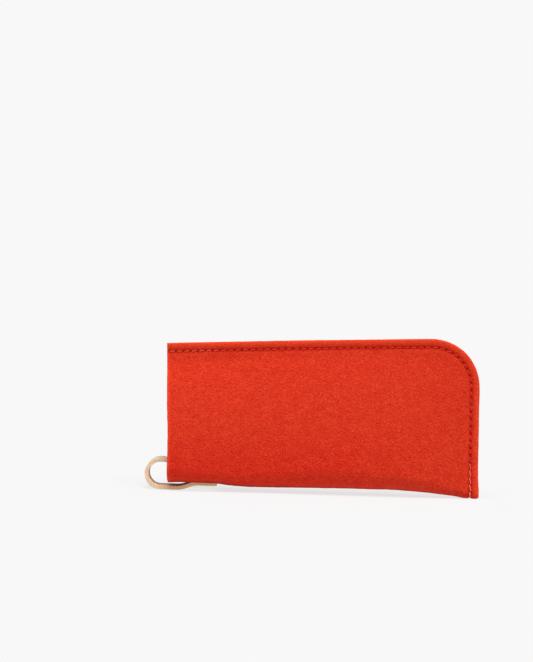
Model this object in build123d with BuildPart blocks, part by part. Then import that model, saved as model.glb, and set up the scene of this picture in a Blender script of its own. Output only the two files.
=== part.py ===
from build123d import *
from math import cos, degrees, pi, radians, sin
import os

# A soft sleeve for one pair of glasses. One blank of thick wool felt is folded along
# its bottom edge and lockstitched along the top, round a large corner and down the
# closed end. A leather strap, doubled into a loop, is sewn through the fold at the
# mouth. Millimetres; +X runs from the mouth to the closed end, the front faces -Y,
# and the sleeve stands on its strap loop and on its lower closed corner, at z = 0.

# ---- driving dimensions: the felt blank ----
felt_thickness = 3.0
half_blank = 91.2           # from the fold's middle line to the cut top edge
case_length = 176.7         # mouth to closed end, along the fold
corner_radius = 27.8        # the one rounded corner
margin = 7.0                # the two layers lie together this far down from the top
layer_gap = 0.1             # the layers touch there, but are not joined

# ---- how the sleeve stands ----
loop_reach = 13.55          # the loop beyond the mouth
mouth_lean = 3.6            # the mouth's top lies this far out past its foot
closed_lean = 1.6           # the closed end's foot lies this far out past its top
mouth_top = 83.1            # height of the top edge at the mouth
closed_top = 91.6           # height of the top edge, run on to the closed end
top_crown = 0.4             # rise of the top edge above its own chord

# ---- the leather strap ----
strap_width = 14.0
strap_thickness = 2.2
strap_tail_end = 27.5       # both ends lie this far in from the mouth
outer_tail_low = 2.8        # underside of the end below the fold
inner_tail_low = 7.6        # underside of the end inside the sleeve
bed_clearance = 0.3         # the strap presses a bed into the felt, this much wider each side

# ---- sewing ----
seam_inset = 4.8            # stitch line to cut edge
seam_stitches = 60          # holes along the seam, about 4.1 apart
seam_foot = 1.5             # the seam ends this far above the fold's underside
thread_width = 0.7
thread_depth = 0.6
leg_width = 0.5             # where the thread dives into the felt
lock_gap = 0.1              # needle and bobbin thread meet inside the felt
needle_hole = 1.3           # holes pierced through the strap
box_length = 8.0            # the strap is sewn with a box of stitches this long
box_width = 9.0
box_middle = 22.0           # its middle, from the mouth

# ---- the loop's side view ----
lift_reach = 17.5           # the lower branch leaves the fold this far in from the mouth
floor_reach = 4.5           # it meets the floor this far in
loop_radius = 7.85          # to the strap's middle line, round the open end
fall_radius = 14.0          # from the loop's top back into the mouth
fall_angle = 48.0

# ---- derived ----
overall_length = case_length + loop_reach
mouth_x = loop_reach - overall_length / 2
closed_x = overall_length / 2
half_felt = felt_thickness / 2
contact_y = (felt_thickness + layer_gap) / 2
ease_radius = 16.0          # each layer swings outward below the margin on this radius
above = 100.0               # height past everything
wide = 40.0                 # half width past everything

# One row for each cross-section of the opened sleeve: distance from the mouth,
# height of the fold's underside, slope of the flanks below the margin in degrees,
# radius of the fold's two rounded sides, half width of the flat between them, and
# how much further down the layers lie together, where the seam rounds the corner.
sections = [
    (-6.0, 3.5, 25.0, 8.0, 7.2, 0.0),
    (4.0, 4.5, 24.8, 7.8, 7.2, 0.0),
    (28.5, 4.5, 22.6, 6.4, 7.2, 0.0),
    (35.0, 3.4, 21.8, 6.2, 6.4, 0.0),
    (46.0, 2.8, 20.0, 7.2, 4.6, 0.0),
    (60.0, 2.8, 18.0, 8.6, 2.6, 0.0),
    (78.0, 3.0, 17.0, 9.8, 1.5, 0.0),
    (100.0, 3.45, 16.0, 11.0, 0.4, 0.0),
    (132.0, 3.4, 13.5, 9.2, 0.3, 0.0),
    (150.0, 2.35, 9.0, 6.4, 0.3, 2.0),
    (158.0, 1.5, 6.0, 4.6, 0.2, 5.0),
    (163.0, 1.3, 4.0, 3.4, 0.2, 7.5),
    (170.0, 0.3, 1.2, 1.9, 0.1, 19.0),
    (174.0, -1.4, 0.8, 1.65, 0.1, 20.0),
    (184.0, -1.8, 0.8, 1.65, 0.1, 20.0),
]


def wall_arc(flank, fold_radius, flat_half, held):
    """Radius of a wall's arc and the slope at its foot, so that flat, fold, wall,
    easing and margin together are half a blank long."""
    eased_y = contact_y + ease_radius * (1 - cos(flank))
    low = -0.999 * flank
    high = 0.999 * flank
    for _ in range(60):
        foot = (low + high) / 2
        radius = (flat_half + fold_radius * cos(foot) - eased_y) / (cos(foot) - cos(flank))
        length = flat_half + fold_radius * (pi / 2 - foot) + radius * (flank + foot)
        length += ease_radius * flank + held
        if length < half_blank:
            low = foot
        else:
            high = foot
    return radius, foot


def half_section(row, face, top_z):
    """Draw one side of a cross-section, from the fold's middle line up to top_z. The
    face is +1 for the felt's outside and -1 for its inside."""
    _, fold_z, slope, fold_radius, flat_half, extra = row
    flank = radians(slope)
    radius, foot = wall_arc(flank, fold_radius, flat_half, margin + extra)
    skin = face * half_felt
    low_z = fold_z + half_felt
    fold_centre = (flat_half, low_z + fold_radius)
    lever = radius - fold_radius
    wall_centre = (fold_centre[0] - lever * cos(foot), fold_centre[1] + lever * sin(foot))
    reach = radius + ease_radius
    ease_centre = (wall_centre[0] + reach * cos(flank), wall_centre[1] + reach * sin(flank))
    contact = ease_centre[0] - ease_radius + skin
    Line((0, low_z - skin), (flat_half, low_z - skin))
    CenterArc(fold_centre, fold_radius + skin, -90, 90 - degrees(foot))
    CenterArc(wall_centre, radius + skin, -degrees(foot), degrees(foot + flank))
    CenterArc(ease_centre, ease_radius - skin, 180 + slope, -slope)
    Line((contact, ease_centre[1]), (contact, top_z))
    Line((contact, top_z), (0, top_z))


# ---- side view of the folded blank, shared by the felt and its seam ----
with BuildSketch(Plane.XZ) as side_view:
    with BuildLine():
        foot_of_mouth = (mouth_x, 0)
        top_of_mouth = (mouth_x - mouth_lean, mouth_top)
        top_of_end = (closed_x - closed_lean, closed_top)
        foot_of_end = (closed_x, 0)
        Line(foot_of_mouth, top_of_mouth)
        SagittaArc(top_of_mouth, top_of_end, -top_crown)
        Line(top_of_end, foot_of_end)
        Line(foot_of_end, foot_of_mouth)
    make_face()
    fillet(side_view.vertices().sort_by(Axis.Y)[-1], corner_radius)

# ---- leather strap: drawn in side view along its middle line ----
strap_half = strap_thickness / 2
tail_x = mouth_x + strap_tail_end
lift_x = mouth_x + lift_reach
floor_x = mouth_x + floor_reach
rise_x = mouth_x - loop_reach + loop_radius + strap_half
outer_z = outer_tail_low + strap_half
inner_z = inner_tail_low + strap_half


def draw_strap_line():
    """The strap from its lower end, round the loop, to its end inside the sleeve."""
    outer_tail = Line((tail_x, outer_z), (lift_x, outer_z))
    half_way = ((lift_x + floor_x) / 2, (outer_z + strap_half) / 2)
    drop = TangentArc([outer_tail @ 1, half_way], tangent=outer_tail % 1)
    landing = TangentArc([drop @ 1, (floor_x, strap_half)], tangent=drop % 1)
    resting = Line(landing @ 1, (rise_x, strap_half))
    curl = JernArc(resting @ 1, resting % 1, loop_radius, -180)
    fall = JernArc(curl @ 1, curl % 1, fall_radius, -fall_angle)
    level_radius = ((fall @ 1).Y - inner_z) / (1 - cos(radians(fall_angle)))
    level = JernArc(fall @ 1, fall % 1, level_radius, fall_angle)
    Line(level @ 1, (tail_x, inner_z))


box_x = mouth_x + box_middle
hole_spots = [Pos(box_x, 0) * spot for spot in GridLocations(box_length / 3, box_width, 4, 2)]
hole_spots += [Pos(box_x, 0) * spot for spot in GridLocations(box_length, 1, 2, 1)]
strap_top = inner_tail_low + strap_thickness

with BuildPart() as leather_strap:
    with BuildSketch(Plane.XZ):
        with BuildLine():
            draw_strap_line()
        trace(line_width=strap_thickness)
    extrude(amount=strap_width / 2, both=True)
    with BuildSketch(Plane.XY.offset(outer_tail_low - 1)):
        with Locations(*hole_spots):
            Circle(needle_hole / 2)
    extrude(amount=strap_top + 2 - outer_tail_low, mode=Mode.SUBTRACT)
leather_strap.part.label = "leather_strap"

# ---- felt body: one folded blank, pressed in a little where the strap lies under it ----
bed_top = outer_tail_low + strap_thickness + layer_gap
bed_reach = strap_tail_end + bed_clearance
bed_width = strap_width + 2 * bed_clearance

with BuildPart() as sleeve_inside:
    for row in sections:
        with BuildSketch(Plane.YZ.offset(mouth_x + row[0])):
            with BuildLine():
                half_section(row, -1, above + 1)
                mirror(about=Plane.YZ)
            make_face()
    loft(ruled=True)

with BuildPart() as felt_body:
    for row in sections:
        with BuildSketch(Plane.YZ.offset(mouth_x + row[0])):
            with BuildLine():
                half_section(row, 1, above)
                mirror(about=Plane.YZ)
            make_face()
    loft(ruled=True)
    extrude(side_view.sketch, amount=wide, both=True, mode=Mode.INTERSECT)
    add(sleeve_inside.part, mode=Mode.SUBTRACT)
    with BuildSketch():
        with Locations((mouth_x, 0)):
            Rectangle(2 * bed_reach, bed_width)
    extrude(amount=bed_top, mode=Mode.SUBTRACT)
felt_body.part.label = "felt_body"

# ---- sewing: each seam is an upper thread and a lower thread, locked inside the felt ----
box_floor = outer_tail_low - layer_gap
box_ceiling = strap_top + layer_gap
lock_z = (outer_tail_low + strap_top) / 2

with BuildPart() as strap_needle_thread:
    with BuildSketch(Plane.XY.offset(box_floor)):
        with Locations((box_x, 0)):
            Rectangle(box_length + thread_width, box_width + thread_width)
            Rectangle(box_length - thread_width, box_width - thread_width, mode=Mode.SUBTRACT)
    extrude(amount=-thread_depth)
    with BuildSketch(Plane.XY.offset(box_floor)):
        with Locations(*hole_spots):
            Circle(leg_width / 2)
    extrude(amount=lock_z - lock_gap / 2 - box_floor)
strap_needle_thread.part.label = "strap_needle_thread"

with BuildPart() as strap_bobbin_thread:
    with BuildSketch(Plane.XY.offset(box_ceiling)):
        with Locations((box_x, 0)):
            Rectangle(box_length + thread_width, box_width + thread_width)
            Rectangle(box_length - thread_width, box_width - thread_width, mode=Mode.SUBTRACT)
    extrude(amount=thread_depth)
    with BuildSketch(Plane.XY.offset(box_ceiling)):
        with Locations(*hole_spots):
            Circle(leg_width / 2)
    extrude(amount=lock_z + lock_gap / 2 - box_ceiling)
strap_bobbin_thread.part.label = "strap_bobbin_thread"

_, closed_edge, _, corner_edge, top_edge = side_view.sketch_local.edges().sort_by(Axis.Y)
cut_edge = Wire([top_edge, corner_edge, closed_edge])
whole_seam = cut_edge.offset_2d(seam_inset, side=Side.LEFT, closed=False)
seam = whole_seam.trim(0, 1 - seam_foot / whole_seam.length)
seam_holes = [Location(seam @ ((step + 0.5) / seam_stitches)) for step in range(seam_stitches)]
thread_in = contact_y + half_felt - thread_depth / 2

with BuildPart() as seam_needle_thread:
    with BuildSketch(Plane.XZ.offset(thread_in)):
        trace(seam, line_width=thread_width)
    extrude(amount=thread_depth)
    with BuildSketch(Plane.XZ.offset(lock_gap / 2)):
        with Locations(*seam_holes):
            Circle(leg_width / 2)
    extrude(amount=thread_in)
seam_needle_thread.part.label = "seam_needle_thread"

with BuildPart() as seam_bobbin_thread:
    with BuildSketch(Plane.XZ.offset(-thread_in)):
        trace(seam, line_width=thread_width)
    extrude(amount=-thread_depth)
    with BuildSketch(Plane.XZ.offset(-lock_gap / 2)):
        with Locations(*seam_holes):
            Circle(leg_width / 2)
    extrude(amount=-thread_in)
seam_bobbin_thread.part.label = "seam_bobbin_thread"

os.makedirs("parts", exist_ok=True)
export_step(felt_body.part, "parts/felt_body.step")
export_step(leather_strap.part, "parts/leather_strap.step")
export_step(strap_needle_thread.part, "parts/strap_needle_thread.step")
export_step(strap_bobbin_thread.part, "parts/strap_bobbin_thread.step")
export_step(seam_needle_thread.part, "parts/seam_needle_thread.step")
export_step(seam_bobbin_thread.part, "parts/seam_bobbin_thread.step")
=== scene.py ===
import math

import bpy
import numpy as np
from mathutils import Matrix, Vector


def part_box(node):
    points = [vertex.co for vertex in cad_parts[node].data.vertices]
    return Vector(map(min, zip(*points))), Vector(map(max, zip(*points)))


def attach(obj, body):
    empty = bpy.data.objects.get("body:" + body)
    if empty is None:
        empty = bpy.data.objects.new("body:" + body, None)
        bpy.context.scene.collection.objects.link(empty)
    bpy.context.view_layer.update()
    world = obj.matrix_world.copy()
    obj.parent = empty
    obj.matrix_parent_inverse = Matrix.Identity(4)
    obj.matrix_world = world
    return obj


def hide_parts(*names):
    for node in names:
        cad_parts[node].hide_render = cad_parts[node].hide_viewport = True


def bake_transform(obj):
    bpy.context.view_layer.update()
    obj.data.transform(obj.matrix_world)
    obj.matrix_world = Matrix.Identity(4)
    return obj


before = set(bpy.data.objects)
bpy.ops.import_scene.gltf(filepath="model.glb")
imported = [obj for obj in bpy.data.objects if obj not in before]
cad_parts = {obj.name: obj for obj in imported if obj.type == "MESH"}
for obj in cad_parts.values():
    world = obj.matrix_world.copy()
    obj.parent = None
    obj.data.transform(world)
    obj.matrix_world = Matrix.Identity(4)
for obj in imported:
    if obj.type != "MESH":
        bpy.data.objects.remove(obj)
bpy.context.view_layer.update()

# ---------------------------------------------------------------- sizes, in millimetres
MM = 0.001
felt_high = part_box("felt_body")[1]
strap_low, strap_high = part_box("leather_strap")

# The sleeve's blank and outline: the frame gives its ends.
loop_reach = 13.55
closed_x = felt_high.x / MM
mouth_x = strap_low.x / MM + loop_reach
case_length = closed_x - mouth_x
half_blank = 91.2
half_felt = 1.5
corner_radius = 27.8
mouth_top = 83.1
closed_top = 91.6
top_crown = 0.4
mouth_lean = 3.6 / mouth_top
closed_lean = 1.6 / closed_top

# At the top each wall eases over an arc into the place where the layers touch: there
# its middle surface is contact_y from the sleeve's middle plane, for at least a margin.
contact_y = 1.52
ease_radius = 16.0
margin = 7.0

# The fold gives way where it meets the floor, and its end is rounded up.
floor_softness = 0.12
foot_rise = 1.0
foot_rounding = 1.7
foot_reach = 9.0

# The seam, and the notch that it pulls into the fold at its lower end.
seam_inset = 4.8
stitch_pitch = 4.12
first_hole = 1.0
seam_start = 0.8
seam_gap = 0.9
notch_height = 0.9
notch_width = 0.75
notch_reach = 3.0

# The strap in side view: its lower end lies under the fold, in a bed pressed into the
# felt, and leaves it at lift_reach. It is on the floor from floor_reach, turns up at
# rise_reach and comes back inside. Each reach is measured from the mouth.
strap_width = (strap_high.y - strap_low.y) / MM
strap_half = 1.1
strap_bevel = 0.28
tail_end = 27.5
lower_end_z = 2.8
inner_end_z = 7.6
lift_reach = 17.5
floor_reach = 4.5
rise_reach = 4.6
loop_radius = 7.85
return_radius = 14.0
return_turn = 48.0
bed_half = strap_width / 2 + 0.3
bed_depth = 0.6
bed_run_out = 0.9

# The box of stitches that fixes the strap; its middle is this far from the mouth.
box_middle = 22.0
box_length = 8.0
box_width = 9.0

# One row for each station along the sleeve: distance from the mouth, height of the
# fold's underside, slope of the flanks, radius of the fold, half its flat, and how
# much further down the layers lie together where the seam rounds the corner.
stations = np.array([
    (-30.0, 3.5, 25.0, 8.0, 7.2, 0.0),
    (-6.0, 3.5, 25.0, 8.0, 7.2, 0.0),
    (4.0, 4.5, 24.8, 7.8, 7.2, 0.0),
    (28.0, 4.5, 22.6, 6.4, 7.2, 0.0),
    (34.5, 3.4, 21.8, 6.2, 6.4, 0.0),
    (46.0, 2.8, 20.0, 7.2, 4.6, 0.0),
    (60.0, 2.8, 18.0, 8.6, 2.6, 0.0),
    (78.0, 3.0, 17.0, 9.8, 1.5, 0.0),
    (100.0, 3.45, 16.0, 11.0, 0.4, 0.0),
    (132.0, 3.4, 13.5, 9.2, 0.3, 0.0),
    (150.0, 2.35, 9.0, 6.4, 0.3, 2.0),
    (158.0, 1.5, 6.0, 4.6, 0.2, 5.0),
    (163.0, 1.2, 4.0, 3.4, 0.2, 7.5),
    (170.0, 0.0, 1.2, 1.9, 0.1, 19.0),
    (174.0, -1.4, 0.8, 1.65, 0.1, 20.0),
    (210.0, -1.8, 0.8, 1.65, 0.1, 20.0),
])
station_blur = 2.6


# ---------------------------------------------------------------- the folded sleeve
def bell(value, middle, width):
    """1 at the middle, falling smoothly towards 0 on both sides of it."""
    return np.exp(-((value - middle) / width) ** 2)


def smooth_step(value):
    """0 below 0, 1 above 1, and a smooth way between."""
    share = np.clip(value, 0, 1)
    return share * share * (3 - 2 * share)


def falling(value, start, end):
    """1 up to start, 0 from end on, and a straight way between."""
    return np.clip((end - value) / (end - start), 0, 1)


def station_values(t):
    """The sleeve's driving values at t, rounded off between the stations but not at
    their two ends, where the blur would have no neighbours."""
    fine = np.arange(stations[0, 0], stations[-1, 0], 0.5)
    window = np.arange(-9.0, 9.1, 0.5)
    weight = np.exp(-0.5 * (window / station_blur) ** 2)
    weight = weight / weight.sum()
    unblurred = 20
    values = []
    for column in range(1, 6):
        raw = np.interp(fine, stations[:, 0], stations[:, column])
        soft = np.convolve(raw, weight, mode="same")
        soft[:unblurred] = raw[:unblurred]
        soft[-unblurred:] = raw[-unblurred:]
        values.append(np.interp(t, fine, soft))
    return values


def solve_wall(flank, fold_radius, flat_half, held):
    """Radius of a flank's arc and the slope at its foot, so that the half section is
    half a blank long."""
    eased_y = contact_y + ease_radius * (1 - np.cos(flank))
    steepest = 0.999 * flank
    low = -steepest
    high = steepest
    for _ in range(50):
        foot = (low + high) / 2
        radius = flat_half + fold_radius * np.cos(foot) - eased_y
        radius = radius / (np.cos(foot) - np.cos(flank))
        length = flat_half + fold_radius * (np.pi / 2 - foot) + radius * (flank + foot)
        length = length + ease_radius * flank + held
        short = length < half_blank
        low = np.where(short, foot, low)
        high = np.where(short, high, foot)
    return radius, foot


def place(t, b, n):
    """Where a point of the felt lies: t along the fold from the mouth, b across the
    blank from the fold (front positive), n out from the felt's middle surface."""
    t = np.asarray(t, float)
    b = np.asarray(b, float)
    fold_z, slope, fold_radius, flat_half, extra = station_values(t)
    flank = np.radians(slope)
    held = margin + extra
    radius, foot = solve_wall(flank, fold_radius, flat_half, held)
    low_z = fold_z + half_felt
    lever = radius - fold_radius
    wall_y = flat_half - lever * np.cos(foot)
    wall_z = low_z + fold_radius + lever * np.sin(foot)
    ease_y = wall_y + (radius + ease_radius) * np.cos(flank)
    ease_z = wall_z + (radius + ease_radius) * np.sin(flank)
    share = np.clip(t / case_length, 0, 1)
    top_z = mouth_top + (closed_top - mouth_top) * share + 4 * top_crown * share * (1 - share)
    s = np.abs(b) * (half_blank + top_z - ease_z - held) / half_blank

    # The section runs flat under the fold, round it, up the wall's arc, back along the
    # easing arc, and straight up to the cut edge.
    to_fold = flat_half
    to_wall = to_fold + fold_radius * (np.pi / 2 - foot)
    to_ease = to_wall + radius * (flank + foot)
    to_top = to_ease + ease_radius * flank
    on_fold = -np.pi / 2 + (s - to_fold) / fold_radius
    on_wall = -foot + (s - to_wall) / radius
    on_ease = flank - (s - to_ease) / ease_radius
    parts = [s < to_fold, s < to_wall, s < to_ease, s < to_top]
    angle = np.select(parts, [-np.pi / 2 + 0 * s, on_fold, on_wall, on_ease], 0.0)
    y = np.select(parts, [
        s,
        flat_half + fold_radius * np.cos(on_fold),
        wall_y + radius * np.cos(on_wall),
        ease_y - ease_radius * np.cos(on_ease),
    ], ease_y - ease_radius)
    z = np.select(parts, [
        low_z,
        low_z + fold_radius + fold_radius * np.sin(on_fold),
        wall_z + radius * np.sin(on_wall),
        ease_z - ease_radius * np.sin(on_ease),
    ], ease_z + s - to_top)
    y = y + n * np.cos(angle)
    z = z + n * np.sin(angle)

    # Nothing goes below the floor, the closed end's foot is rounded up, and the seam
    # pulls its notch.
    z = 0.5 * (z + np.sqrt(z * z + floor_softness ** 2))
    before_foot = falling(t, case_length - foot_rounding, case_length)
    z = z + foot_rise * (1 - before_foot) ** 2 * falling(s, 0, foot_reach)
    notch = bell(t, case_length - seam_inset, notch_width)
    z = z + notch_height * notch * falling(s, 0, notch_reach)

    # Both ends lean, and their outlines wander a little.
    lean = mouth_lean + (closed_lean - mouth_lean) * share
    wander = (0.35 * bell(z, 34, 10) - 0.45 * bell(z, 9, 6)) * np.exp(-t / 14)
    flare = 0.6 * bell(z, 2, 9) * np.exp((t - case_length) / 6)
    x = mouth_x + t - lean * z + wander + flare
    return np.stack([x, -np.sign(b) * y, z], axis=-1)


def to_corner(t, b):
    """Bend the square grid of the blank round its large corner."""
    side = np.sign(b)
    size = np.abs(b)
    p = (t - case_length + corner_radius) / corner_radius
    q = (size - half_blank + corner_radius) / corner_radius
    inside = (p > 0) & (q > 0)
    p = np.where(inside, p, 1.0)
    q = np.where(inside, q, 1.0)
    reach = np.maximum(p, q)
    turn = np.where(p >= q, np.pi / 4 * q / p, np.pi / 2 - np.pi / 4 * p / q)
    round_t = case_length - corner_radius + corner_radius * reach * np.cos(turn)
    round_b = half_blank - corner_radius + corner_radius * reach * np.sin(turn)
    return np.where(inside, round_t, t), np.where(inside, side * round_b, b)


def edge_distance(t, b):
    """How far in from the sewn cut edge a point of the blank lies."""
    from_end = case_length - t
    from_top = half_blank - np.abs(b)
    rounding = (from_end < corner_radius) & (from_top < corner_radius)
    round_in = corner_radius - np.hypot(corner_radius - from_end, corner_radius - from_top)
    return np.where(rounding, round_in, np.minimum(from_end, from_top))


stitch_radius = corner_radius - seam_inset
top_run = case_length - corner_radius
corner_run = stitch_radius * np.pi / 2


def seam_distance(t, b):
    """How far along the seam from the mouth a point near it lies."""
    size = np.abs(b)
    down = half_blank - corner_radius - size
    across = t - top_run
    turn = np.arctan2(across, np.maximum(-down, 1e-6))
    far = np.where(down > 0, top_run + corner_run + down, top_run + stitch_radius * turn)
    return np.where(across < 0, t, far)


def from_hole(s):
    """How far along the seam the nearest needle hole lies."""
    count = (s - first_hole) / stitch_pitch
    return (count - np.round(count)) * stitch_pitch


def seam_path(s):
    """The point of the blank at s along the seam, and the direction to its cut edge."""
    s = np.asarray(s, float)
    turn = np.clip((s - top_run) / stitch_radius, 0, np.pi / 2)
    past = np.maximum(s - top_run - corner_run, 0)
    t = np.minimum(s, top_run) + stitch_radius * np.sin(turn)
    b = half_blank - corner_radius + stitch_radius * np.cos(turn) - past
    return t, b, np.sin(turn), np.cos(turn)


def lattice_noise(u, v, size, seed):
    """Smooth noise between -1 and 1 with features of about this size."""
    rng = np.random.default_rng(seed)
    table = rng.uniform(-1, 1, (256, 256))
    u = u / size + 1000.0
    v = v / size + 1000.0
    i = np.floor(u).astype(int)
    j = np.floor(v).astype(int)
    fu = smooth_step(u - i)
    fv = smooth_step(v - j)
    a = table[i % 256, j % 256] * (1 - fu) + table[(i + 1) % 256, j % 256] * fu
    c = table[i % 256, (j + 1) % 256] * (1 - fu) + table[(i + 1) % 256, (j + 1) % 256] * fu
    return a * (1 - fv) + c * fv


def make_mesh(name, points, faces, materials, material_index=None):
    """A smooth-shaded mesh from points in millimetres and a list of faces."""
    mesh = bpy.data.meshes.new(name)
    mesh.from_pydata((np.asarray(points) * MM).tolist(), [], faces)
    for material in materials:
        mesh.materials.append(material)
    mesh.polygons.foreach_set("use_smooth", np.ones(len(mesh.polygons), bool))
    if material_index is not None:
        mesh.polygons.foreach_set("material_index", np.asarray(material_index, np.int32))
    mesh.update()
    obj = bpy.data.objects.new(name, mesh)
    bpy.context.scene.collection.objects.link(obj)
    return obj


def add_values(obj, name, values):
    """Store one number a point for the materials."""
    attribute = obj.data.attributes.new(name, "FLOAT", "POINT")
    attribute.data.foreach_set("value", np.asarray(values, np.float32))


def add_uv(obj, u, v):
    """Lay the mesh out flat for the materials, in metres."""
    layer = obj.data.uv_layers.new(name="flat")
    corner = np.zeros(len(obj.data.loops), np.int32)
    obj.data.loops.foreach_get("vertex_index", corner)
    flat = np.stack([np.asarray(u)[corner], np.asarray(v)[corner]], axis=1) * MM
    layer.data.foreach_set("uv", flat.astype(np.float32).ravel())


# ---------------------------------------------------------------- materials
class Shader:
    """A material's nodes, added one at a time."""

    def __init__(self, name):
        self.material = bpy.data.materials.new(name)
        self.material.use_nodes = True
        self.tree = self.material.node_tree
        self.bsdf = self.tree.nodes["Principled BSDF"]

    def node(self, kind, **settings):
        made = self.tree.nodes.new(kind)
        for key, value in settings.items():
            setattr(made, key, value)
        return made

    def wire(self, start, end):
        self.tree.links.new(start, end)

    def coordinates(self, which):
        return self.node("ShaderNodeTexCoord").outputs[which]

    def turned(self, vector, scale, rotation=(0, 0, 0)):
        mapping = self.node("ShaderNodeMapping")
        mapping.inputs["Scale"].default_value = scale
        mapping.inputs["Rotation"].default_value = rotation
        self.wire(vector, mapping.inputs["Vector"])
        return mapping.outputs["Vector"]

    def noise(self, vector, scale, detail, roughness):
        texture = self.node("ShaderNodeTexNoise")
        texture.inputs["Scale"].default_value = scale
        texture.inputs["Detail"].default_value = detail
        texture.inputs["Roughness"].default_value = roughness
        self.wire(vector, texture.inputs["Vector"])
        return texture.outputs["Fac"]

    def maths(self, operation, first, second, clamp=False):
        made = self.node("ShaderNodeMath", operation=operation, use_clamp=clamp)
        for socket, value in ((made.inputs[0], first), (made.inputs[1], second)):
            if isinstance(value, (int, float)):
                socket.default_value = value
            else:
                self.wire(value, socket)
        return made.outputs[0]

    def spread(self, value, low, high, to_low=0.0, to_high=1.0):
        made = self.node("ShaderNodeMapRange")
        made.inputs["From Min"].default_value = low
        made.inputs["From Max"].default_value = high
        made.inputs["To Min"].default_value = to_low
        made.inputs["To Max"].default_value = to_high
        self.wire(value, made.inputs["Value"])
        return made.outputs["Result"]

    def ramp(self, value, stops):
        made = self.node("ShaderNodeValToRGB")
        elements = made.color_ramp.elements
        for position, colour in stops[1:-1]:
            elements.new(position).color = (*colour, 1)
        elements[0].position = stops[0][0]
        elements[0].color = (*stops[0][1], 1)
        elements[-1].position = stops[-1][0]
        elements[-1].color = (*stops[-1][1], 1)
        self.wire(value, made.inputs["Fac"])
        return made.outputs["Color"]

    def mix(self, share, first, second, blend="MIX"):
        made = self.node("ShaderNodeMix", data_type="RGBA", blend_type=blend)
        settings = ((made.inputs[0], share), (made.inputs[6], first), (made.inputs[7], second))
        for socket, value in settings:
            if isinstance(value, (int, float)):
                socket.default_value = value
            elif isinstance(value, tuple):
                socket.default_value = (*value, 1)
            else:
                self.wire(value, socket)
        return made.outputs[2]

    def attribute(self, name):
        return self.node("ShaderNodeAttribute", attribute_name=name).outputs["Fac"]

    def bump(self, height, distance, strength):
        made = self.node("ShaderNodeBump")
        made.inputs["Distance"].default_value = distance
        made.inputs["Strength"].default_value = strength
        self.wire(height, made.inputs["Height"])
        return made.outputs["Normal"]


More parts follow.
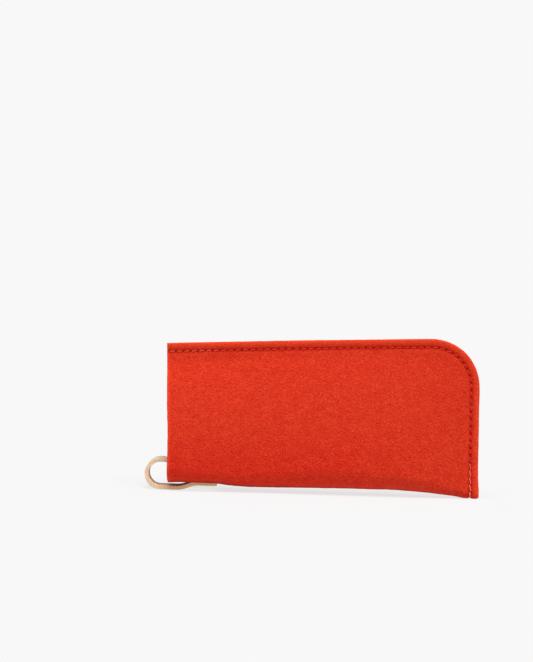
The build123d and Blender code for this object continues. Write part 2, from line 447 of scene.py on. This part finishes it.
def felt_material(name):
    """Thick pressed wool: mottled colour, matted fibres, a matte nap."""
    lower_wall_shade_tint = (1.0, 0.78, 0.86)
    underside_shade_tint = (0.55, 0.38, 0.48)
    seam_shade_colour = (0.36, 0.0015, 0.0020)
    gloss = 0.08
    sheen = 0.10
    m = Shader(name)

    # Everything matted is drawn on coordinates that are pushed about a little.
    where = m.coordinates("Object")
    warp = m.node("ShaderNodeTexNoise")
    warp.inputs["Scale"].default_value = 420.0
    warp.inputs["Detail"].default_value = 2.0
    m.wire(where, warp.inputs["Vector"])
    pushed = m.node("ShaderNodeVectorMath", operation="MULTIPLY_ADD")
    m.wire(warp.outputs["Color"], pushed.inputs[0])
    pushed.inputs[1].default_value = (0.0016, 0.0016, 0.0016)
    m.wire(where, pushed.inputs[2])
    matted = pushed.outputs["Vector"]

    # The fibres are streaks in three directions, and the ridges are swirling strands.
    fibres = None
    for turn in ((0.3, 0.2, 0.5), (1.4, 0.9, 2.0), (2.4, 1.9, 1.1)):
        streak = m.noise(m.turned(matted, (0.16, 1.0, 1.0), turn), 2300.0, 1.5, 0.5)
        fibres = streak if fibres is None else m.maths("MAXIMUM", fibres, streak)
    swirl = m.noise(matted, 800.0, 1.0, 0.5)
    from_ridge = m.maths("ABSOLUTE", m.spread(swirl, 0.32, 0.68, -1.0, 1.0), 0.0)
    ridge = m.maths("SUBTRACT", 1.0, from_ridge)

    # The tone comes from blotches, grain, ridges and fibres. The colour then takes painted shade
    # on the lower walls towards the mouth, on the fold's underside and in the seam, and is lighter
    # at the cut edges, partly paler fuzz and partly painted highlight.
    blotch = m.noise(where, 210.0, 3.0, 0.6)
    grain = m.noise(where, 1350.0, 2.0, 0.6)
    tone = m.maths("ADD", m.spread(blotch, 0.3, 0.7, 0.0, 0.15), m.spread(grain, 0.3, 0.7, 0.0, 0.48))
    tone = m.maths("ADD", tone, m.spread(ridge, 0.0, 1.0, 0.0, 0.16))
    tone = m.maths("ADD", tone, m.spread(fibres, 0.45, 0.75, 0.0, 0.28), clamp=True)
    colour = m.ramp(tone, [
        (0.12, (0.525, 0.0120, 0.0055)),
        (0.50, (0.635, 0.029, 0.0098)),
        (0.88, (0.765, 0.064, 0.0225)),
    ])
    # Painted shade: the lower walls towards the mouth, which face down, are darkened.
    colour = m.mix(m.attribute("lower_wall_shade"), colour, lower_wall_shade_tint, "MULTIPLY")
    # Painted shade on the fold's underside, where it faces the floor.
    colour = m.mix(m.attribute("underside_shade"), colour, underside_shade_tint, "MULTIPLY")
    # Painted shade in the seam's valley and needle holes, where the gloss and sheen are taken away too.
    seam_shade = m.attribute("seam_shade")
    colour = m.mix(seam_shade, colour, seam_shade_colour)
    # Lighter along the cut edges: partly paler fuzz, partly a painted highlight where the rounded edge
    # catches the light.
    cut_fuzz_and_highlight = m.mix(m.spread(grain, 0.36, 0.64), (0.74, 0.046, 0.014), (0.97, 0.078, 0.023))
    colour = m.mix(m.attribute("cut"), colour, cut_fuzz_and_highlight)
    m.wire(colour, m.bsdf.inputs["Base Color"])
    m.bsdf.inputs["Roughness"].default_value = 0.95
    m.bsdf.inputs["Specular IOR Level"].default_value = gloss
    m.bsdf.inputs["Sheen Weight"].default_value = sheen
    m.wire(m.spread(seam_shade, 0.0, 0.7, gloss, 0.0), m.bsdf.inputs["Specular IOR Level"])
    m.wire(m.spread(seam_shade, 0.0, 0.7, sheen, 0.0), m.bsdf.inputs["Sheen Weight"])
    m.bsdf.inputs["Sheen Roughness"].default_value = 0.45
    m.bsdf.inputs["Sheen Tint"].default_value = (1.0, 0.35, 0.2, 1)
    relief = m.maths("ADD", m.maths("MULTIPLY", fibres, 0.6), m.maths("MULTIPLY", grain, 1.1))
    relief = m.maths("ADD", relief, m.maths("MULTIPLY", ridge, 0.35))
    m.wire(m.bump(relief, 0.00045, 1.0), m.bsdf.inputs["Normal"])
    return m.material


def thread_material(name, dark, light):
    """Twisted sewing thread, paler where the mesh says so; the twist is in the mesh."""
    pale_colour = (0.95, 0.22, 0.15)
    m = Shader(name)
    where = m.coordinates("Object")
    tone = m.noise(where, 700.0, 3.0, 0.6)
    fibre = m.noise(m.turned(where, (1.0, 0.4, 1.0), (0.4, 0.7, 0.2)), 5200.0, 2.0, 0.6)
    tone = m.maths("ADD", m.maths("MULTIPLY", tone, 0.6), m.maths("MULTIPLY", fibre, 0.4))
    colour = m.ramp(tone, [
        (0.32, dark),
        (0.68, light),
    ])
    colour = m.mix(m.attribute("pale"), colour, pale_colour)
    m.wire(colour, m.bsdf.inputs["Base Color"])
    m.bsdf.inputs["Roughness"].default_value = 0.7
    m.bsdf.inputs["Specular IOR Level"].default_value = 0.06
    m.wire(m.bump(fibre, 0.00005, 0.8), m.bsdf.inputs["Normal"])
    return m.material


def grain_material(name):
    """The strap's smooth side: undyed leather with pores and faint creases."""
    m = Shader(name)
    where = m.coordinates("UV")
    cloud = m.noise(where, 130.0, 3.0, 0.6)
    fleck = m.noise(where, 900.0, 4.0, 0.7)
    pores = m.node("ShaderNodeTexVoronoi", feature="DISTANCE_TO_EDGE")
    pores.inputs["Scale"].default_value = 1500.0
    m.wire(where, pores.inputs["Vector"])
    pebble = m.spread(pores.outputs["Distance"], 0.0, 0.25)
    crease = m.noise(m.turned(where, (1.0, 0.12, 1.0)), 800.0, 2.0, 0.6)
    tone = m.maths("ADD", m.spread(cloud, 0.3, 0.7, 0.0, 0.55), m.spread(fleck, 0.3, 0.7, 0.0, 0.3))
    tone = m.maths("ADD", tone, m.spread(crease, 0.35, 0.65, 0.0, 0.15), clamp=True)
    colour = m.ramp(tone, [
        (0.10, (0.72, 0.53, 0.37)),
        (0.55, (0.82, 0.66, 0.50)),
        (0.95, (0.88, 0.76, 0.62)),
    ])
    m.wire(colour, m.bsdf.inputs["Base Color"])
    m.wire(m.spread(fleck, 0.3, 0.7, 0.46, 0.62), m.bsdf.inputs["Roughness"])
    m.bsdf.inputs["Specular IOR Level"].default_value = 0.4
    height = m.maths("ADD", m.maths("MULTIPLY", pebble, 0.35), m.maths("MULTIPLY", crease, 0.5))
    m.wire(m.bump(height, 0.00012, 0.7), m.bsdf.inputs["Normal"])
    return m.material


def raw_edge_material(name):
    """The strap's cut edge: packed fibres along it, with painted shade browning the lower end that lies
    under the fold.
    """
    end_shade_to = 0.026
    end_shade_gone_from = 0.036
    end_shade_tint = (1.0, 0.90, 0.68)
    m = Shader(name)
    where = m.coordinates("UV")
    layers = m.noise(m.turned(where, (0.25, 1.0, 1.0)), 1500.0, 3.0, 0.6)
    speck = m.noise(where, 2600.0, 3.0, 0.65)
    cloud = m.noise(where, 160.0, 2.0, 0.5)
    tone = m.maths("ADD", m.spread(layers, 0.3, 0.7, 0.0, 0.4), m.spread(speck, 0.3, 0.7, 0.0, 0.3))
    tone = m.maths("ADD", tone, m.spread(cloud, 0.3, 0.7, 0.0, 0.3), clamp=True)
    colour = m.ramp(tone, [
        (0.08, (0.60, 0.40, 0.24)),
        (0.50, (0.79, 0.56, 0.38)),
        (0.95, (0.89, 0.71, 0.54)),
    ])
    split = m.node("ShaderNodeSeparateXYZ")
    m.wire(where, split.inputs["Vector"])
    # Painted shade: the first 26 to 36 mm of the strap, from its lower end under the fold, is browner.
    end_shade = m.spread(split.outputs["X"], end_shade_to, end_shade_gone_from, 1.0, 0.0)
    colour = m.mix(end_shade, colour, end_shade_tint, "MULTIPLY")
    m.wire(colour, m.bsdf.inputs["Base Color"])
    m.bsdf.inputs["Roughness"].default_value = 0.8
    m.bsdf.inputs["Specular IOR Level"].default_value = 0.25
    height = m.maths("ADD", layers, m.maths("MULTIPLY", speck, 0.7))
    m.wire(m.bump(height, 0.00018, 0.9), m.bsdf.inputs["Normal"])
    return m.material


def flesh_material(name):
    """The strap's back: short suede nap."""
    m = Shader(name)
    where = m.coordinates("UV")
    nap = m.noise(m.turned(where, (0.5, 1.0, 1.0), (0, 0, 0.3)), 1900.0, 4.0, 0.7)
    cloud = m.noise(where, 220.0, 3.0, 0.6)
    tone = m.maths("ADD", m.spread(nap, 0.3, 0.7, 0.0, 0.55), m.spread(cloud, 0.3, 0.7, 0.0, 0.45))
    colour = m.ramp(tone, [
        (0.10, (0.74, 0.58, 0.42)),
        (0.50, (0.84, 0.70, 0.54)),
        (0.95, (0.90, 0.79, 0.65)),
    ])
    m.wire(colour, m.bsdf.inputs["Base Color"])
    m.bsdf.inputs["Roughness"].default_value = 0.92
    m.bsdf.inputs["Specular IOR Level"].default_value = 0.15
    m.bsdf.inputs["Sheen Weight"].default_value = 0.15
    m.wire(m.bump(nap, 0.00022, 0.9), m.bsdf.inputs["Normal"])
    return m.material


felt_look = felt_material("wool_felt")
seam_look = thread_material("seam_thread", (0.62, 0.020, 0.011), (0.85, 0.060, 0.031))
linen_look = thread_material("linen_thread", (0.60, 0.44, 0.28), (0.80, 0.66, 0.47))
grain_look = grain_material("leather_grain")
edge_look = raw_edge_material("leather_edge")
flesh_look = flesh_material("leather_flesh")


# ---------------------------------------------------------------- the felt
def spaced(marks):
    """Grid lines from the first mark to the last, with each span's own spacing."""
    lines = [marks[0][0]]
    for (start, _), (end, step) in zip(marks, marks[1:]):
        count = max(1, round((end - start) / step))
        lines.extend(start + (end - start) * (k + 1) / count for k in range(count))
    return np.array(lines)


# The faces end a lip inside the cut edge, where the rim's rings take over, and their
# grid is finer in a border along the edges.
lip = 0.55
mouth_border = 4.0
sewn_border = 9.0
fine = 0.5
coarse = 1.04
along = spaced([(0.0, 0), (lip + fine, lip + fine), (mouth_border, fine),
                (case_length - sewn_border, coarse), (case_length - lip - fine, fine),
                (case_length, lip + fine)])
upper = spaced([(0.0, 0), (half_blank - sewn_border, coarse), (half_blank - lip - fine, fine),
                (half_blank, lip + fine)])
across = np.concatenate([-upper[:0:-1], upper])
rows, columns = len(along), len(across)


def blank_points(inset, t, b):
    """Grid positions of the blank, kept at least this far inside its cut edge."""
    t = np.clip(t, inset, case_length - inset)
    b = np.clip(b, inset - half_blank, half_blank - inset)
    return to_corner(t, b)


def sewn_share(b):
    """1 where the two layers are sewn, falling to a half at the fold's lowest line."""
    return 0.5 + 0.5 * np.clip(np.abs(b) / 2.0, 0, 1)


def waviness(t, b, seed):
    """The slight unevenness of a face of the felt."""
    rise = 0.10 * lattice_noise(t, b, 9.0, seed)
    rise = rise + 0.045 * lattice_noise(t, b, 2.6, seed + 2)
    return rise + 0.02 * lattice_noise(t, b, 1.3, seed + 12)


def outer_rise(t, b):
    """How far the outer face stands from even: waviness, seam, holes, strap's bed."""
    away = edge_distance(t, b) - seam_inset
    to_hole = from_hole(seam_distance(t, b))
    width = np.where(away < 0, 1.05, 1.25)
    valley = np.exp(-0.5 * (away / width) ** 2)
    hole = np.exp(-0.5 * ((away / 0.55) ** 2 + (to_hole / 0.85) ** 2))
    shoulder = 1.6 * np.exp(-0.5 * ((away - 3.6) / 1.6) ** 2)
    shoulder = shoulder + np.exp(-0.5 * ((away + 3.4) / 0.9) ** 2)
    pulled = sewn_share(b) * (0.36 * valley + 0.54 * hole - 0.08 * shoulder)
    bed = falling(np.abs(b), bed_half - bed_depth, bed_half)
    bed = bed * falling(t, tail_end, tail_end + bed_run_out)
    return (waviness(t, b, 4) - pulled) * (1 - bed) - bed_depth * bed


def inner_rise(t, b):
    """How far the inner face stands from even: waviness, none where the layers meet."""
    meeting = falling(edge_distance(t, b), 10.0, 16.0)
    return waviness(t, b, 3) * (1 - meeting)


grid_t, grid_b = (grid.ravel() for grid in np.meshgrid(along, across, indexing="ij"))
face_t, face_b = blank_points(lip, grid_t, grid_b)
from_edge = edge_distance(face_t, face_b)
from_seam = from_edge - seam_inset
to_hole = from_hole(seam_distance(face_t, face_b))

# What the material needs to know of each point: how near the cut edge it is, for its paler
# fuzz and painted highlight, and how much painted shade it takes in the seam, on the lower
# walls towards the mouth and under the fold.
# The cut edge is lighter: partly paler fuzz, partly a painted highlight of the rounded edge.
cut = np.maximum(bell(from_edge, lip, 1.9), bell(face_t, lip, 0.9)) * 0.72
# Painted shade in the seam's valley and its needle holes.
seam_side = np.where(from_seam < 0, 1.0, 0.55)
in_valley = np.exp(-0.5 * (from_seam / seam_side) ** 2)
in_hole = np.exp(-0.5 * ((from_seam / 0.55) ** 2 + (to_hole / 0.95) ** 2))
seam_shade = np.clip(sewn_share(face_b) * (0.34 * in_valley + 0.66 * in_hole), 0, 1)
from_fold = np.abs(face_b)
# Painted shade on the lower walls near the fold, towards the mouth, where they face down.
lower_wall_shade = smooth_step(falling(from_fold, 18.0, 42.0)) * smooth_step(falling(face_t, 86.0, 156.0))
# Painted shade on the fold's underside, where it faces the floor; strongest towards the mouth.
from_flat = from_fold - station_values(face_t)[3]
on_fold = smooth_step(falling(from_flat, 2.4, 5.6))
underside_shade = on_fold * (0.35 + 0.65 * smooth_step(falling(face_t, 60.0, 150.0)))

# The layers of points are the outer face, the rings of the cut edge and the inner face.
# Near the sewn edge both inner faces are pressed to the sleeve's middle plane.
order = np.arange(rows * columns).reshape(rows, columns)
rim = np.concatenate([order[:, 0], order[-1, 1:], order[-2::-1, -1], order[0, -2:0:-1]])
rim_count = len(rim)
rim_profile = ((0.30, 1.43), (0.11, 1.20), (0.0, 0.75), (-0.04, 0.0),
               (0.0, -0.75), (0.11, -1.20), (0.30, -1.43))
rim_run = np.arange(rim_count) * 1.0
rim_zero = np.zeros(rim_count)
face_zero = np.zeros(rows * columns)
outer = place(face_t, face_b, half_felt + outer_rise(face_t, face_b))
inner = place(face_t, face_b, -half_felt + inner_rise(face_t, face_b))
pressed = falling(from_edge, 8.0, 12.0)
inner[:, 1] = inner[:, 1] * (1 - pressed)
layers = [(outer, face_t, face_b, cut, seam_shade, lower_wall_shade, underside_shade)]
# The rings of the cut edge take the lighter cut colour: partly paler fuzz, partly painted highlight.
for number, (inset, height) in enumerate(rim_profile):
    ragged = 0.07 * lattice_noise(rim_run, rim_zero + 3.1 * number, 2.0, 31)
    ragged = ragged + 0.05 * lattice_noise(rim_run, rim_zero, 7.0, 32)
    rim_t, rim_b = blank_points(0.10 + inset + ragged, grid_t[rim], grid_b[rim])
    ring = place(rim_t, rim_b, height)
    layers.append((ring, rim_t, rim_b, rim_zero + 0.75, rim_zero, lower_wall_shade[rim], rim_zero))
layers.append((inner, face_t, face_b, cut * 0.8, face_zero, lower_wall_shade, face_zero))
felt_points, flat_t, flat_b, cut, seam_shade, lower_wall_shade, underside_shade = (np.concatenate(part) for part in zip(*layers))

quads = np.stack([order[:-1, :-1], order[1:, :-1], order[1:, 1:], order[:-1, 1:]], axis=-1)
quads = quads.reshape(-1, 4)
inner_start = rows * columns + len(rim_profile) * rim_count
rings = [rim]
for number in range(len(rim_profile)):
    rings.append(rows * columns + number * rim_count + np.arange(rim_count))
rings.append(inner_start + rim)
felt_faces = [quads[:, ::-1], quads + inner_start]
for first, second in zip(rings, rings[1:]):
    after_first = np.roll(first, -1)
    after_second = np.roll(second, -1)
    felt_faces.append(np.stack([first, after_first, after_second, second], axis=-1))
felt = make_mesh("felt_sleeve", felt_points, np.concatenate(felt_faces).tolist(), [felt_look])
for name, values in (("cut", cut), ("seam_shade", seam_shade), ("lower_wall_shade", lower_wall_shade), ("underside_shade", underside_shade)):
    add_values(felt, name, values)
add_uv(felt, flat_t, flat_b)

# ---------------------------------------------------------------- threads
plies = 3
ply_sides = 7


def thread_tube(track, side, to_world, twist_length, ply_offset, ply_radius):
    """Plies twisted round a track, and their faces; side is the flat direction across."""
    centre_t, centre_b, centre_n = track
    side_t, side_b = side
    steps = np.hypot(np.hypot(np.diff(centre_t), np.diff(centre_b)), np.diff(centre_n))
    gone = np.concatenate([[0], np.cumsum(steps)])
    count = len(centre_t)
    points = []
    faces = []
    for ply in range(plies):
        spin = 2 * np.pi * (gone / twist_length + ply / plies)
        tube = []
        for k in range(ply_sides):
            angle = 2 * np.pi * k / ply_sides
            lateral = ply_offset * np.cos(spin) + ply_radius * np.cos(angle)
            height = centre_n + ply_offset * np.sin(spin) + ply_radius * np.sin(angle)
            tube.append(to_world(centre_t + lateral * side_t, centre_b + lateral * side_b, height))
        points.append(np.stack(tube, axis=1).reshape(-1, 3))
        index = ply * count * ply_sides + np.arange(count * ply_sides).reshape(count, ply_sides)
        ahead = np.roll(index, -1, axis=1)
        band = np.stack([index[:-1], ahead[:-1], ahead[1:], index[1:]], axis=-1)
        faces.extend(band.reshape(-1, 4).tolist())
        faces.append(index[0, ::-1].tolist())
        faces.append(index[-1].tolist())
    return np.concatenate(points), faces


# The thread dives into the felt at each hole. Towards the seam's lower end the stitches
# lie higher and are paler, and near the mouth they are a little paler.
seam_end = top_run + corner_run + half_blank - corner_radius - seam_gap
seam_step = 0.22
seam_s = np.arange(seam_start, seam_end, seam_step)
seam_t, seam_b, out_t, out_b = seam_path(seam_s)
off_hole = from_hole(seam_s)
last_run = 1 - falling(seam_s, seam_end - 22.0, seam_end - 14.0)
first_run = falling(seam_s, 22.0, 34.0)
dive_depth = 1.2
dive_width = 0.92 - 0.36 * last_run
above_felt = 0.34 * last_run - 0.16
seam_height = half_felt + above_felt - dive_depth * bell(off_hole, 0, dive_width)
slant = -0.16 * np.sin(2 * np.pi * off_hole / stitch_pitch)
pale = np.tile(np.repeat(0.8 * last_run + 0.28 * first_run, ply_sides), plies)
threads = {}
for face, node in ((1, "seam_needle_thread"), (-1, "seam_bobbin_thread")):
    track = (seam_t + slant * out_t, face * (seam_b + slant * out_b), seam_height)
    points, faces = thread_tube(
        track, (out_t, face * out_b), place, twist_length=1.5, ply_offset=0.15, ply_radius=0.17)
    threads[node] = make_mesh(node.replace("_thread", "_stitches"), points, faces, [seam_look])
    add_values(threads[node], "pale", pale)


# ---------------------------------------------------------------- the strap
def strap_line():
    """The strap's middle line in side view, from its lower end round to its inner end."""
    longest_step = 0.45
    lower_z = lower_end_z + strap_half
    x = [mouth_x + tail_end]
    z = [lower_z]
    heading = math.pi

    def straight(length):
        count = max(1, round(length / longest_step))
        for _ in range(count):
            x.append(x[-1] + math.cos(heading) * length / count)
            z.append(z[-1] + math.sin(heading) * length / count)

    def bend(radius, degrees_left):
        nonlocal heading
        turn = math.radians(degrees_left)
        count = max(2, round(abs(turn) * radius / longest_step))
        chord = 2 * radius * math.sin(abs(turn) / count / 2)
        for _ in range(count):
            heading += turn / count / 2
            x.append(x[-1] + math.cos(heading) * chord)
            z.append(z[-1] + math.sin(heading) * chord)
            heading += turn / count / 2

    # Two equal arcs take the strap from under the fold down to the floor.
    straight(tail_end - lift_reach)
    reach = (lift_reach - floor_reach) / 2
    drop = (lower_z - strap_half) / 2
    radius = (reach ** 2 + drop ** 2) / (2 * drop)
    swing = math.degrees(2 * math.atan2(drop, reach))
    bend(radius, swing)
    bend(radius, -swing)
    straight(floor_reach + rise_reach)
    bend(loop_radius, -180.0)
    bend(return_radius, -return_turn)
    still_to_fall = z[-1] - inner_end_z - strap_half
    bend(still_to_fall / (1 - math.cos(math.radians(return_turn))), return_turn)
    straight(mouth_x + tail_end - x[-1])
    return np.array(x), np.array(z)


# Half of the strap's section is a smooth face and one cut edge with rounded corners;
# the other half is the same turned half round, with the suede face.
GRAIN, EDGE, FLESH = 0, 1, 2
half_width = strap_width / 2
flat_width = half_width - strap_bevel
flat_depth = strap_half - strap_bevel
corner_turns = (math.pi / 8, math.pi / 4, 3 * math.pi / 8)
half_section = []
for y in np.linspace(-flat_width, flat_width, 30):
    half_section.append((y, strap_half, GRAIN))
for turn in corner_turns:
    y = flat_width + strap_bevel * math.sin(turn)
    half_section.append((y, flat_depth + strap_bevel * math.cos(turn), EDGE))
for n in np.linspace(flat_depth, -flat_depth, 6):
    half_section.append((half_width, n, EDGE))
for turn in corner_turns:
    y = flat_width + strap_bevel * math.cos(turn)
    half_section.append((y, -flat_depth - strap_bevel * math.sin(turn), EDGE))
other_half = [(-y, -n, FLESH if part == GRAIN else EDGE) for y, n, part in half_section]
section_y, section_n, section_part = (np.array(part) for part in zip(*(half_section + other_half)))
around = len(section_y)
half_around = len(half_section)

line_x, line_z = strap_line()
dx = np.gradient(line_x)
dz = np.gradient(line_z)
outward_x = -dz / np.hypot(dx, dz)
outward_z = dx / np.hypot(dx, dz)
line_s = np.concatenate([[0], np.cumsum(np.hypot(np.diff(line_x), np.diff(line_z)))])
strap_s, strap_y = np.meshgrid(line_s, section_y, indexing="ij")
strap_n = np.broadcast_to(section_n, strap_s.shape)

# The two faces are a little wavy, the cut edges too, and nothing goes below the floor.
wave = 0.05 * lattice_noise(strap_s, strap_y, 6.0, 51)
wave = wave + 0.02 * lattice_noise(strap_s, strap_y, 1.6, 52)
edge_wave = 0.06 * lattice_noise(strap_s, strap_n * 2, 3.0, 53)
on_face = np.abs(strap_n) > strap_half - 0.1
on_edge = np.abs(strap_y) > half_width - 0.01
shaped_n = strap_n + wave * np.sign(strap_n) * on_face
shaped_y = strap_y + edge_wave * np.sign(strap_y) * on_edge
strap_x = line_x[:, None] + outward_x[:, None] * shaped_n
strap_z = line_z[:, None] + outward_z[:, None] * shaped_n
strap_points = np.stack([strap_x, shaped_y, np.maximum(strap_z, 0.0)], axis=-1).reshape(-1, 3)

index = np.arange(len(line_s) * around).reshape(len(line_s), around)
ahead = np.roll(index, -1, axis=1)
band = np.stack([index[:-1], ahead[:-1], ahead[1:], index[1:]], axis=-1).reshape(-1, 4)
band_part = np.where(section_part == np.roll(section_part, -1), section_part, EDGE)
strap_faces = [band]
strap_parts = [np.tile(band_part, len(line_s) - 1)]
for end in (0, -1):
    top = index[end, :half_around]
    bottom = index[end, half_around:][::-1]
    cap = np.stack([top[:-1], top[1:], bottom[1:], bottom[:-1]], axis=-1)
    strap_faces.append(cap if end == 0 else cap[:, ::-1])
    strap_parts.append(np.full(half_around - 1, EDGE))
strap = make_mesh("strap_loop", strap_points, np.concatenate(strap_faces).tolist(),
                  [grain_look, edge_look, flesh_look], np.concatenate(strap_parts))
around_run = np.concatenate([[0], np.cumsum(np.hypot(np.diff(section_y), np.diff(section_n)))])
add_uv(strap, strap_s.ravel(), np.broadcast_to(around_run, strap_s.shape).ravel())

# ---------------------------------------------------------------- the strap's box of stitches
# The box has three stitches on each side along the strap and two on each side across.
corners = [(-0.5, -0.5), (0.5, -0.5), (0.5, 0.5), (-0.5, 0.5), (-0.5, -0.5)]
box_holes = []
for (ax, ay), (bx, by) in zip(corners, corners[1:]):
    count = 3 if ay == by else 2
    for k in range(count):
        hole_x = mouth_x + box_middle + box_length * (ax + (bx - ax) * k / count)
        hole_y = box_width * (ay + (by - ay) * k / count)
        box_holes.append((hole_x, hole_y))
box_holes.append(box_holes[0])


def box_thread(surface_z, face):
    """Stitches round the box on a level face of the strap; face is +1 up or -1 down."""
    box_step = 0.15
    above_strap = 0.12
    box_dive = 1.1
    track = []
    side = []
    for (ax, ay), (bx, by) in zip(box_holes, box_holes[1:]):
        length = math.hypot(bx - ax, by - ay)
        count = round(length / box_step)
        for k in range(count):
            share = k / count
            off = min(share, 1 - share) * length
            height = above_strap - box_dive * bell(off, 0, 0.34)
            track.append((ax + (bx - ax) * share, ay + (by - ay) * share, height))
            side.append((-(by - ay) / length, (bx - ax) / length))

    def to_world(x, y, n):
        return np.stack([x, y, surface_z + face * n], axis=-1)

    return thread_tube(
        np.array(track).T, np.array(side).T, to_world, twist_length=1.4, ply_offset=0.13, ply_radius=0.15)


upper_face_z = inner_end_z + 2 * strap_half
box_faces = ((-1, lower_end_z, "strap_needle_thread"), (1, upper_face_z, "strap_bobbin_thread"))
for face, surface_z, node in box_faces:
    points, faces = box_thread(surface_z, face)
    threads[node] = make_mesh(node.replace("_thread", "_stitches"), points, faces, [linen_look])

# ---------------------------------------------------------------- what the pieces stand for
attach(felt, "case")
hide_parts("felt_body")
for node, piece in threads.items():
    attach(piece, "case")
    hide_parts(node)
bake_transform(strap)
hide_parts("leather_strap")

# ---------------------------------------------------------------- floor
# The floor's own glow makes it as bright in open light as the backdrop, so that it
# shows only the shadow.
backdrop = 0.94
floor_albedo = 0.16
sky = 0.42
key_strength = 3.35
key_elevation = math.radians(68)
key_turn = math.radians(12)
open_light = sky + key_strength * math.sin(key_elevation) / math.pi
floor_look = Shader("pale_floor")
floor_look.bsdf.inputs["Base Color"].default_value = (floor_albedo, floor_albedo, floor_albedo, 1)
floor_look.bsdf.inputs["Roughness"].default_value = 1.0
floor_look.bsdf.inputs["Specular IOR Level"].default_value = 0.0
floor_look.bsdf.inputs["Emission Color"].default_value = (1.0, 1.0, 1.0, 1)
floor_look.bsdf.inputs["Emission Strength"].default_value = backdrop - floor_albedo * open_light
floor_half = 4000.0
floor_corners = [(-floor_half, -floor_half, 0), (floor_half, -floor_half, 0),
                 (floor_half, floor_half, 0), (-floor_half, floor_half, 0)]
floor = make_mesh("floor", floor_corners, [(0, 1, 2, 3)], [floor_look.material])

# ---------------------------------------------------------------- light
world = bpy.data.worlds.new("studio")
bpy.context.scene.world = world
world.use_nodes = True
nodes = world.node_tree.nodes
links = world.node_tree.links
nodes.clear()
output = nodes.new("ShaderNodeOutputWorld")
lit = nodes.new("ShaderNodeBackground")
lit.inputs["Color"].default_value = (1.0, 1.0, 1.0, 1)
lit.inputs["Strength"].default_value = sky
seen = nodes.new("ShaderNodeBackground")
seen.inputs["Color"].default_value = (1.0, 1.0, 1.0, 1)
seen.inputs["Strength"].default_value = backdrop
paths = nodes.new("ShaderNodeLightPath")
choose = nodes.new("ShaderNodeMixShader")
links.new(paths.outputs["Is Camera Ray"], choose.inputs["Fac"])
links.new(lit.outputs["Background"], choose.inputs[1])
links.new(seen.outputs["Background"], choose.inputs[2])
links.new(choose.outputs["Shader"], output.inputs["Surface"])

key_data = bpy.data.lights.new("key", "SUN")
key_data.angle = math.radians(50)
key_data.energy = key_strength
key = bpy.data.objects.new("key", key_data)
bpy.context.scene.collection.objects.link(key)
level = math.cos(key_elevation)
towards = Vector((math.sin(key_turn) * level, -math.cos(key_turn) * level, math.sin(key_elevation)))
key.rotation_euler = towards.to_track_quat("Z", "Y").to_euler()

# ---------------------------------------------------------------- camera
aim_along = 0.05293
aim_height = 0.09182
elevation = math.radians(1.5)
roll = math.radians(1.93)
distance = 1.2
camera_data = bpy.data.cameras.new("camera")
camera_data.sensor_width = 36.0
camera_data.lens = 114.3
camera_data.clip_start = 0.05
camera_data.clip_end = 30.0
camera = bpy.data.objects.new("camera", camera_data)
bpy.context.scene.collection.objects.link(camera)
aim = Vector((mouth_x * MM + aim_along, 0.0, aim_height))
back = Vector((0.0, -math.cos(elevation), math.sin(elevation)))
level_up = Vector((0.0, math.sin(elevation), math.cos(elevation)))
right = Vector((1, 0, 0)) * math.cos(roll) + level_up * math.sin(roll)
up = level_up * math.cos(roll) - Vector((1, 0, 0)) * math.sin(roll)
turned = Matrix((right, up, back)).transposed().to_4x4()
camera.matrix_world = Matrix.Translation(aim + back * distance) @ turned
bpy.context.scene.camera = camera
bpy.context.scene.view_settings.view_transform = "Standard"
